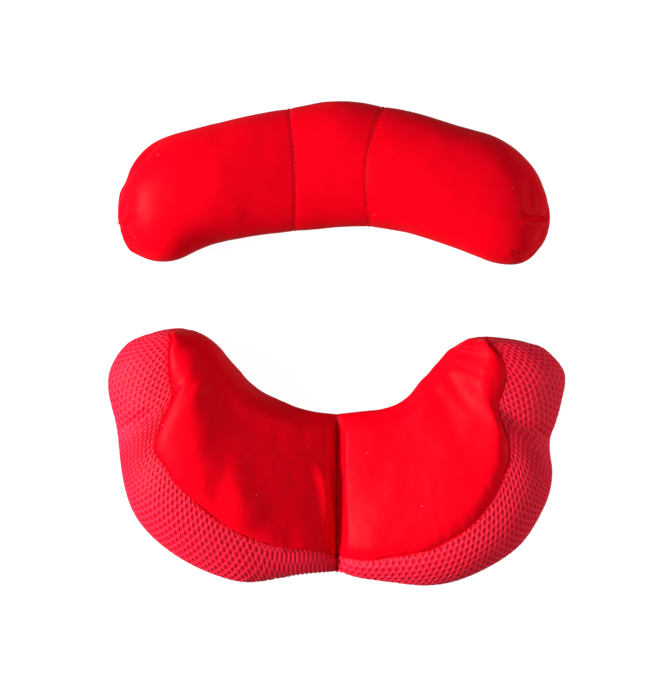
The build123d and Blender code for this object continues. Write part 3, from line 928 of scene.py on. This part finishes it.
chin_front = {}
for word, g, flip in (("left", left_grid, False), ("right", right_grid, True)):
    sign = 1.0 if word == "left" else -1.0
    gus, fro, bac = sub(g, 0, j_ridge), sub(g, j_ridge, j_edge), sub(g, j_edge, N_AROUND)
    # front panel, held at the ridge seam, at the crease and where it turns under
    held = np.zeros(fro.shape[:2])
    held[:, 0] = 1
    held[:3] = 1
    held = np.maximum(held, 1 - smoothstep(0.0, 6.0, np.abs(fro[..., 0])))
    held = np.maximum(held, 1 - smoothstep(CHIN_Z0 + 2, CHIN_Z0 + 9, fro[..., 2]))
    held[-3:] = 1
    fro = settle("chin_front_" + word, fro, held, False, 4.0, 1.6, 0.02, (0.0, -30.0, -60.0))
    fro2 = refine(fro, 3, 3)
    uvf = lengths_uv(fro2)
    nrm = grid_normals(fro2)
    if nrm[len(nrm) // 2, 20, 2] < 0:
        nrm = -nrm
    fro2 = fro2 + nrm * seam_puckers(fro2, 0, 4 if word == "left" else 9)[..., None]
    fro2[..., 2] += front_folds(fro2, word)
    wob = value_noise(fro2 * 0.11, 11) * 0.30 + value_noise(fro2 * 0.27, 12) * 0.10
    calm = smoothstep(1, 10 + 3 * CAP_ROWS, np.arange(len(fro2))[::-1])[:, None]
    fro2 = fro2 + nrm * (wob * calm * smoothstep(CHIN_Z0 + 0.5, CHIN_Z0 + 5, fro2[..., 2]))[..., None]
    ob = grid_piece("chin_front_" + word, fro2, MAT_COVER, uvf, flip)
    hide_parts("chin_front_panel_" + word, "chin_foam_" + word)
    chin_soft(ob)
    chin_front[word] = (fro2, nrm)
    # gusset: an inner sheet, and the open face over it
    gus2 = refine(gus, 3, 3)
    band = Band(gus2)
    # the gusset dips where the pad narrows behind the cheek
    a0, a1 = ((-97.15, -39.16), (-77.79, -28.60)) if word == "left" else ((96.89, -42.68), (70.49, -31.68))
    along = np.array([a1[0] - a0[0], a1[1] - a0[1]])
    far = np.linalg.norm(along)
    along /= far
    rel = band.g[..., :2] - np.array(a0)
    run = rel @ along
    off = rel[..., 0] * along[1] - rel[..., 1] * along[0]
    dent = 1.5 * bump(off, 2.8) * smoothstep(1, 8, run) * smoothstep(far + 2, far - 6, run) * smoothstep(CHIN_Z0 + 1, CHIN_Z0 + 7, band.g[..., 2])
    band.g = band.g - band.n * (dent * smoothstep(0.0, 3.0, band.t))[..., None]
    lin = band.g - band.n * 0.43
    ob = grid_piece("chin_mesh_lining_" + word, lin, MAT_LINING, lengths_uv(lin), not band.turned)
    chin_soft(ob)
    ob = openwork("chin_mesh_face_" + word, band, word, MAT_MESH)
    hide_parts("chin_mesh_gusset_" + word)
    chin_soft(ob)
    # ridge seam: the cover's folded edge and the stitches that hold it down on the mesh
    edge, en = band.g[:, 0], band.n[:, 0]
    down = band.g[:, 3] - band.g[:, 0]
    down /= np.maximum(np.linalg.norm(down, axis=1, keepdims=True), 1e-9)
    s = chord(edge)
    wavy = value_noise(np.stack([s / 5.0, s * 0 + 1.0, s * 0], 1), 21) * 0.35
    live = s < s[-1] - 1.0
    path = (edge + down * (0.10 + wavy)[:, None] - en * 0.40)[live]
    v, f = tube(path, 0.34 + 0.05 * value_noise(np.stack([s / 3.1, s * 0, s * 0 + 4], 1), 22)[live], 8, True, 0.72, en[live])
    welt = (v, f)
    parts = [welt]
    p, t, m = sample_line(path, en[live], 2.3)
    dn = np.stack([np.interp(np.arange(1.15, chord(path)[-1], 2.3), chord(path), down[live][:, k]) for k in range(3)], 1)
    for q in range(len(p)):
        lean = 0.35 * math.sin(q * 2.1)
        parts.append(stitch(p[q] + m[q] * 0.42 + t[q] * lean, p[q] + dn[q] * (1.4 + 0.25 * math.sin(q * 1.3)) + m[q] * 0.34, m[q], 0.14, 0.18))
    ob = join_parts("chin_ridge_stitching_" + word, parts, MAT_COVER)
    ob.data.materials.append(MAT_OVERLOCK)
    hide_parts("chin_ridge_seam_" + word)
    welt_faces = len(welt[1])
    ob.data.polygons.foreach_set("material_index", [0] * welt_faces + [1] * (len(ob.data.polygons) - welt_faces))
    chin_soft(ob)
    # back panel and its bound edge
    bac2 = refine(bac, 1, 2)
    bac2[..., 2] = 1.75 + 0.10 * value_noise(bac2 * 0.15, 31)
    ob = grid_piece("chin_back_" + word, bac2, MAT_BACK, lengths_uv(bac2), flip)
    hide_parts("chin_back_panel_" + word)
    chin_soft(ob)
    rim_o, rim_i = g[:, 0], g[:, j_edge]
    ring = np.concatenate([rim_i, rim_o[::-1]])
    ring = ring[np.concatenate([[True], np.linalg.norm(np.diff(ring, axis=0), axis=1) > 0.05])]
    t = chord(ring)
    ring = np.stack([np.interp(np.arange(0, t[-1], 1.6), t, ring[:, k]) for k in range(3)], 1)
    ring[:, 2] = 2.15
    v, f = tube(ring, 0.95, 8, True, 0.75)
    parts = [(v, f)]
    c = np.array([-55.0 if word == "left" else 55.0, -50.0, 0.0])
    p, t, m = sample_line(ring, np.broadcast_to([0.0, 0.0, -1.0], ring.shape), 3.0)
    for q in range(len(p)):
        parts.append(stitch(p[q] - t[q] * 1.0 + m[q] * 0.66, p[q] + t[q] * 1.0 + m[q] * 0.66, m[q], 0.16, 0.10))
    ob = join_parts("chin_back_binding_" + word, parts, MAT_BINDING)
    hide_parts("chin_back_seam_" + word)
    chin_soft(ob)

# centre seam: ladder stitches down in the crease, and down the outer side between the gussets
fl_, nl_ = chin_front["left"]
line = fl_[0].copy()
top = line[:, 2] > CHIN_Z0 + 3.0
line, up = line[top], np.broadcast_to([0.0, 0.0, 1.0], line[top].shape)
outer_line = left_grid[0, : j_ridge + 1]
parts = []
for pts, nn in ((line, up), (outer_line, np.stack([np.zeros(len(outer_line)), -np.ones(len(outer_line)), np.full(len(outer_line), 0.3)], 1))):
    nn = nn / np.linalg.norm(nn, axis=1, keepdims=True)
    v, f = tube(pts + nn * 0.05, 0.30, 6, True, 1.0, nn)
    parts.append((v, f))
    p, t, m = sample_line(pts, nn, 2.4)
    for q in range(len(p)):
        parts.append(stitch(p[q] - np.array([0.75, 0, 0]) + m[q] * 0.45, p[q] + np.array([0.75, 0, 0]) + t[q] * 0.5 + m[q] * 0.45, m[q], 0.17, 0.15))
ob = join_parts("chin_centre_stitching", parts, MAT_THREAD)
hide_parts("chin_centre_seam")
chin_soft(ob)

# =============================================================================================
# Brow pad surface
# =============================================================================================
BROW_AROUND = 56


def brow_section(st, bow):
    tx, ty, bx, by, h = st
    w = math.hypot(bx - tx, by - ty)
    z0 = BROW_Z0
    pts = [(0.50, 0.0), (0.30, 0.0), (0.14, 0.015), (0.035, 0.14), (0.0, 0.36), (0.04, 0.62), (0.17, 0.86), (0.5, 1.0), (0.83, 0.86), (0.96, 0.62), (1.0, 0.36), (0.965, 0.14), (0.86, 0.015), (0.70, 0.0), (0.50, 0.0)]
    prof = evenly([(a * w, z0 + b * h) for a, b in pts], BROW_AROUND)[:-1]
    u = np.array([(bx - tx) / w, (by - ty) / w])
    xy = np.array([tx, ty]) + prof[:, :1] * u
    along = np.array([-u[1], u[0]])
    if along[0] < 0:
        along = -along
    f = np.clip(prof[:, :1] / w, 0, 1)
    lift = smoothstep(z0 + 0.3 * h, z0 + 0.75 * h, prof[:, 1:])
    xy = xy + along * bow * np.sin(math.pi * f) * lift
    return np.concatenate([xy, prof[:, 1:]], 1)


def brow_grid():
    st = np.array(BROW, float)
    t = 0.5 * (chord(st[:, :2]) + chord(st[:, 2:4]))
    marks = [0, 6, 8, len(BROW) - 1]
    rows, index = [], [0]
    for a, b in zip(marks[:-1], marks[1:]):
        n = int(round((t[b] - t[a]) / 1.5))
        rows += list(np.linspace(t[a], t[b], n, endpoint=False))
        index.append(len(rows))
    rows.append(t[-1])
    rows = np.array(rows)
    table = natural_spline(t, st, rows)
    bow = natural_spline(t, np.array([[0], [0], [0], [0.2], [0.6], [1.2], [1.8], [-1.6], [-4.6], [-3.4], [-1.8], [-0.6], [0], [0], [0]]), rows)[:, 0]
    g = np.stack([brow_section(r, b) for r, b in zip(table, bow)])
    ends = []
    for edge, inner in ((0, 1), (-1, -2)):
        last = g[edge]
        pole = last.mean(0)
        away = (g[edge].mean(0) - g[inner].mean(0))[:2]
        away = away / np.linalg.norm(away)
        caps = []
        a0 = math.radians(40)
        for k in range(1, 9):
            a = a0 + (math.pi / 2 - a0) * k / 8
            p = pole + (last - pole) * max(math.cos(a), 0) / math.cos(a0)
            p[:, :2] += away * 9.0 * (math.sin(a) - math.sin(a0))
            caps.append(p)
        ends.append(caps)
    g = np.concatenate([np.stack(ends[0][::-1]), g, np.stack(ends[1])])
    return g, [i + 8 for i in index]


bgrid, bmarks = brow_grid()


def brow_details(g):
    """Seam grooves, gathered ends and soft lumps, as moves along the normal. g is closed across."""
    n = grid_normals(g, closed=True)
    row = len(g) // 2
    if n[row, int(np.argmax(g[row, :, 2])), 2] < 0:
        n = -n
    amount = np.zeros(g.shape[:2])
    mid = g.mean(1)
    s = chord(mid)
    for mark, depth in ((bmark_fine[1], 0.42), (bmark_fine[2], 0.42)):
        d = s - s[mark]
        amount += (-depth * np.exp(-((np.abs(d) / 0.9) ** 1.3)) - 0.30 * bump(d, 6.0))[:, None]
        # puckers square to the seam
        k = np.linspace(0, 1, g.shape[1])
        w = value_noise(np.stack([k * 26, k * 0 + mark, k * 0], 1), 5)
        amount += 0.14 * w[None, :] * (np.exp(-np.abs(d) / 4.0) * (1 - np.exp(-np.abs(d) / 0.8)))[:, None]
    x, y, z = g[..., 0], g[..., 1], g[..., 2]
    up = smoothstep(6.0, 16.0, z)
    # left end: a short crease in from the edge, and the back lobe showing past the front one
    cx0, cy0 = (-94.51, 52.14)
    cx1, cy1 = (-85.27, 54.56)
    yy = cy0 + (x - cx0) * (cy1 - cy0) / (cx1 - cx0)
    amount -= 1.9 * bump(y - yy, 1.0) * smoothstep(cx1, cx0 + 1.5, x) * smoothstep(7.0, 15.0, z)
    amount += 0.6 * bump(y - yy - 2.6, 2.4) * smoothstep(cx1 + 3, cx0, x)
    a0, b0 = (-92.75, 71.28), (-82.19, 81.84)
    t = ((x - a0[0]) * (b0[0] - a0[0]) + (y - a0[1]) * (b0[1] - a0[1])) / ((b0[0] - a0[0]) ** 2 + (b0[1] - a0[1]) ** 2)
    dist = ((x - a0[0]) * (b0[1] - a0[1]) - (y - a0[1]) * (b0[0] - a0[0])) / math.hypot(b0[0] - a0[0], b0[1] - a0[1])
    amount -= 1.9 * bump(dist + 0.5, 1.4) * bump(t - 0.45, 0.75) * up
    # right end: deeper crease, the hollow above it and the tuck below
    line = np.array([(78.41, 56.10), (81.93, 54.34), (85.45, 53.68), (89.41, 54.34), (93.37, 55.22)])
    yy = np.interp(x, line[:, 0], line[:, 1])
    span = smoothstep(line[0, 0] - 0.5, line[0, 0] + 3.5, x) * smoothstep(9.0, 18.0, z)
    amount -= 2.6 * bump(y - yy, 0.9) * span
    amount += 0.5 * bump(y - yy + 2.6, 1.6) * span
    hx, hy = (83.69, 62.04)
    amount -= 1.3 * bump((x - hx) + 0.15 * (y - hy), 2.2) * bump(y - hy, 8.0) * up
    hx, hy = (89.41, 61.16)
    amount += 0.9 * bump(x - hx, 3.0) * bump(y - hy, 6.0)
    line = np.array([(75.33, 40.48), (78.41, 38.50), (81.93, 38.06), (85.45, 39.16), (89.41, 42.24)])
    yy = np.interp(x, line[:, 0], line[:, 1])
    amount -= 1.9 * bump(y - yy, 0.95) * smoothstep(line[0, 0], line[0, 0] + 4, x) * smoothstep(line[-1, 0], line[-1, 0] - 2, x) * smoothstep(9.0, 17.0, z)
    # gathers at both ends, drawn towards the tack
    for end, sgn in ((0, 1), (-1, -1)):
        d = np.abs(s - s[end])
        ph = np.arctan2(z - 9.0, y - g[end, 0, 1])
        amount += 0.42 * np.sin(ph * 9 + 1.3 * np.sin(ph * 2)) * (np.exp(-((d - 3.0) / 4.5) ** 2) * (d > 0.3))[:, None]
    # stuffing is never quite even
    amount += 0.55 * value_noise(g * 0.055, 41) + 0.16 * value_noise(g * 0.16, 42)
    flat = smoothstep(BROW_Z0, BROW_Z0 + 3.0, z)
    near = np.minimum(np.abs(s - s[0]), np.abs(s - s[-1]))[:, None]
    amount *= 0.35 + 0.65 * smoothstep(0.5, 5.0, near)
    return g + n * (amount * (0.15 + 0.85 * flat))[..., None], n


BROW_FINE = 2
bheld = 1 - smoothstep(BROW_Z0 + 1, BROW_Z0 + 7, bgrid[..., 2])
for m in bmarks[1:3]:
    bheld[m] = 1
bheld[:2] = 1
bheld[-2:] = 1
bgrid = settle("brow_cloth", bgrid, bheld, True, 4.0, 1.6, 0.02, (0.0, 70.0, 8.0))
gb = np.concatenate([bgrid, bgrid[:, :1]], 1)
gb = refine(gb, BROW_FINE, 3)[:, :-1]
bmark_fine = [m * BROW_FINE for m in bmarks]
uvb = lengths_uv(np.concatenate([gb, gb[:, :1]], 1))
gb, nb = brow_details(gb)
gb[..., 2] = np.maximum(gb[..., 2], BROW_Z0)
bparts = {"left": (0, bmark_fine[1]), "centre": (bmark_fine[1], bmark_fine[2]), "right": (bmark_fine[2], gb.shape[0] - 1)}
for word, (a, b) in bparts.items():
    g2 = np.concatenate([gb[a : b + 1], gb[a : b + 1, :1]], 1)
    ob = grid_piece("brow_cloth_" + word, g2, MAT_COVER, uvb[a : b + 1], True)
    nodes = ["brow_cover_" + word] + (["brow_foam_core"] if word == "centre" else [])
    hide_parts(*nodes)
    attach(ob, "brow_pad")
for word, mark in (("left", bmark_fine[1]), ("right", bmark_fine[2])):
    loop = np.concatenate([gb[mark], gb[mark, :1]])
    nn = np.concatenate([nb[mark], nb[mark, :1]])
    v, f = tube(loop - nn * 0.06, 0.18, 6, False, 1.0, nn)
    parts = [(v, f)]
    p, t, m = sample_line(loop, nn, 2.2)
    for q in range(len(p)):
        across = np.cross(t[q], m[q])
        parts.append(stitch(p[q] - across * 0.62 - t[q] * 0.25 + m[q] * 0.30, p[q] + across * 0.62 + t[q] * 0.25 + m[q] * 0.30, m[q], 0.14, 0.12))
    ob = join_parts("brow_stitching_" + word, parts, MAT_THREAD)
    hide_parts("brow_seam_" + word)
    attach(ob, "brow_pad")
for word, end, nxt in (("left", 0, 3), ("right", -1, -4)):
    c = gb[end].mean(0)
    away = c - gb[nxt].mean(0)
    away /= np.linalg.norm(away)
    sidev = np.cross(away, [0, 0, 1.0])
    sidev /= np.linalg.norm(sidev)
    parts = []
    for k in range(7):
        z = (k - 3) * 0.62
        parts.append(stitch(c - sidev * 1.5 + np.array([0, 0, z - 0.2]) - away * 0.55, c + sidev * 1.5 + np.array([0, 0, z + 0.2]) - away * 0.55, away, 0.17, 0.2))
    ob = join_parts("brow_end_tack_thread_" + word, parts, MAT_THREAD)
    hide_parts("brow_end_tack_" + word)
    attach(ob, "brow_pad")

# =============================================================================================
# Hook tape: a woven base, rows of bent hooks under it, and the stitches round its edge
# =============================================================================================
for name, (body, cx, cy, length, angle) in PATCHES.items():
    ca, sa = math.cos(math.radians(angle)), math.sin(math.radians(angle))

    def place(pts):
        pts = np.asarray(pts, float)
        return np.stack([cx + pts[:, 0] * ca - pts[:, 1] * sa, cy + pts[:, 0] * sa + pts[:, 1] * ca, pts[:, 2]], 1)

    hl, hw, r = length / 2, 10.0, 2.5
    outline = []
    for qx, qy, a0 in ((hl - r, hw - r, 0), (-hl + r, hw - r, 90), (-hl + r, -hw + r, 180), (hl - r, -hw + r, 270)):
        for k in range(7):
            a = math.radians(a0 + 15 * k)
            outline.append((qx + r * math.cos(a), qy + r * math.sin(a)))
    outline = np.array(outline)
    n = len(outline)
    layers = [(1.0, 1.62), (1.0, 0.98), (0.985, 0.85), (0.93, 0.80)]
    v = np.concatenate([np.concatenate([outline * k, np.full((n, 1), z)], 1) for k, z in layers])
    f = [tuple(range(n))[::-1]]
    for k in range(len(layers) - 1):
        for i in range(n):
            a, b = k * n + i, k * n + (i + 1) % n
            f.append((a, b, b + n, a + n))
    f.append(tuple((len(layers) - 1) * n + i for i in range(n)))
    parts = [(place(v), [tuple(q[::-1]) for q in f])]
    nx, ny = int((length - 6.5) / 1.45), int((20 - 6.5) / 1.45)
    for i in range(nx + 1):
        for j in range(ny + 1):
            x = -(nx * 1.45) / 2 + i * 1.45
            y = -(ny * 1.45) / 2 + j * 1.45
            sgn = 1 if j % 2 else -1
            path = np.array([(0, 0, 0.84), (0.02 * sgn, 0, 0.52), (0.10 * sgn, 0, 0.22), (0.30 * sgn, 0, 0.10), (0.46 * sgn, 0, 0.20)])
            path[:, 0] += x
            path[:, 1] += y
            parts.append(tube(place(path), [0.17, 0.13, 0.11, 0.10, 0.06], 4, True))
    rim = np.concatenate([outline, outline[:1]]) * np.array([(hl - 1.5) / hl, (hw - 1.5) / hw])
    rim = place(np.concatenate([rim, np.full((len(rim), 1), 0.80)], 1))
    hooks = join_parts(name + "_tape", parts, MAT_HOOK)
    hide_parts(name)
    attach(hooks, body)
    parts = []
    p, t, m = sample_line(rim, np.broadcast_to([0.0, 0.0, -1.0], rim.shape), 2.6)
    for q in range(len(p)):
        parts.append(stitch(p[q] - t[q] * 0.95, p[q] + t[q] * 0.95, m[q], 0.16, 0.16))
    ob = join_parts(name + "_stitches", parts, MAT_THREAD)
    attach(ob, body)

# =============================================================================================
# Stage, light and camera
# =============================================================================================
scene = bpy.context.scene
scene.view_settings.view_transform = "Standard"
scene.view_settings.look = "None"

floor_mat = bpy.data.materials.new("pale_floor")
floor_mat.use_nodes = True
nt = floor_mat.node_tree
fb = nt.nodes["Principled BSDF"]
fb.inputs["Base Color"].default_value = (0.18, 0.18, 0.18, 1)
fb.inputs["Roughness"].default_value = 0.9
fb.inputs["Specular IOR Level"].default_value = 0.0
fb.inputs["Emission Color"].default_value = (1, 1, 1, 1)
fb.inputs["Emission Strength"].default_value = 0.95
fme = bpy.data.meshes.new("floor")
fme.from_pydata([(-3, -3, 0), (3, -3, 0), (3, 3, 0), (-3, 3, 0)], [], [(0, 1, 2, 3)])
fme.materials.append(floor_mat)
floor = bpy.data.objects.new("floor", fme)
scene.collection.objects.link(floor)
floor.visible_diffuse = False
floor.visible_glossy = False

world = bpy.data.worlds.new("studio")
scene.world = world
world.use_nodes = True
bg = world.node_tree.nodes["Background"]
bg.inputs[0].default_value = (1, 1, 1, 1)
bg.inputs[1].default_value = 0.28


def area(name, place, size, power, target=(0, 0, 0.01)):
    d = bpy.data.lights.new(name, "AREA")
    d.shape = "DISK"
    d.size = size
    d.energy = power
    o = bpy.data.objects.new(name, d)
    o.location = place
    o.rotation_euler = (Vector(target) - Vector(place)).to_track_quat("-Z", "Y").to_euler()
    scene.collection.objects.link(o)
    return o


area("key_left", (-1.17, 0.0, 0.60), 0.50, 33.0)
area("fill_right", (1.20, 0.0, 0.26), 0.70, 5.0)

cam_data = bpy.data.cameras.new("camera")
cam_data.sensor_fit = "HORIZONTAL"
cam_data.sensor_width = 36.0
HEIGHT = 0.812
cam_data.lens = 36.0 * 0.800 / 0.2944
cam = bpy.data.objects.new("camera", cam_data)
cam.location = (-0.0010, 0.0, HEIGHT)
cam.rotation_euler = (0, 0, 0)
scene.collection.objects.link(cam)
scene.camera = cam

bpy.context.view_layer.update()
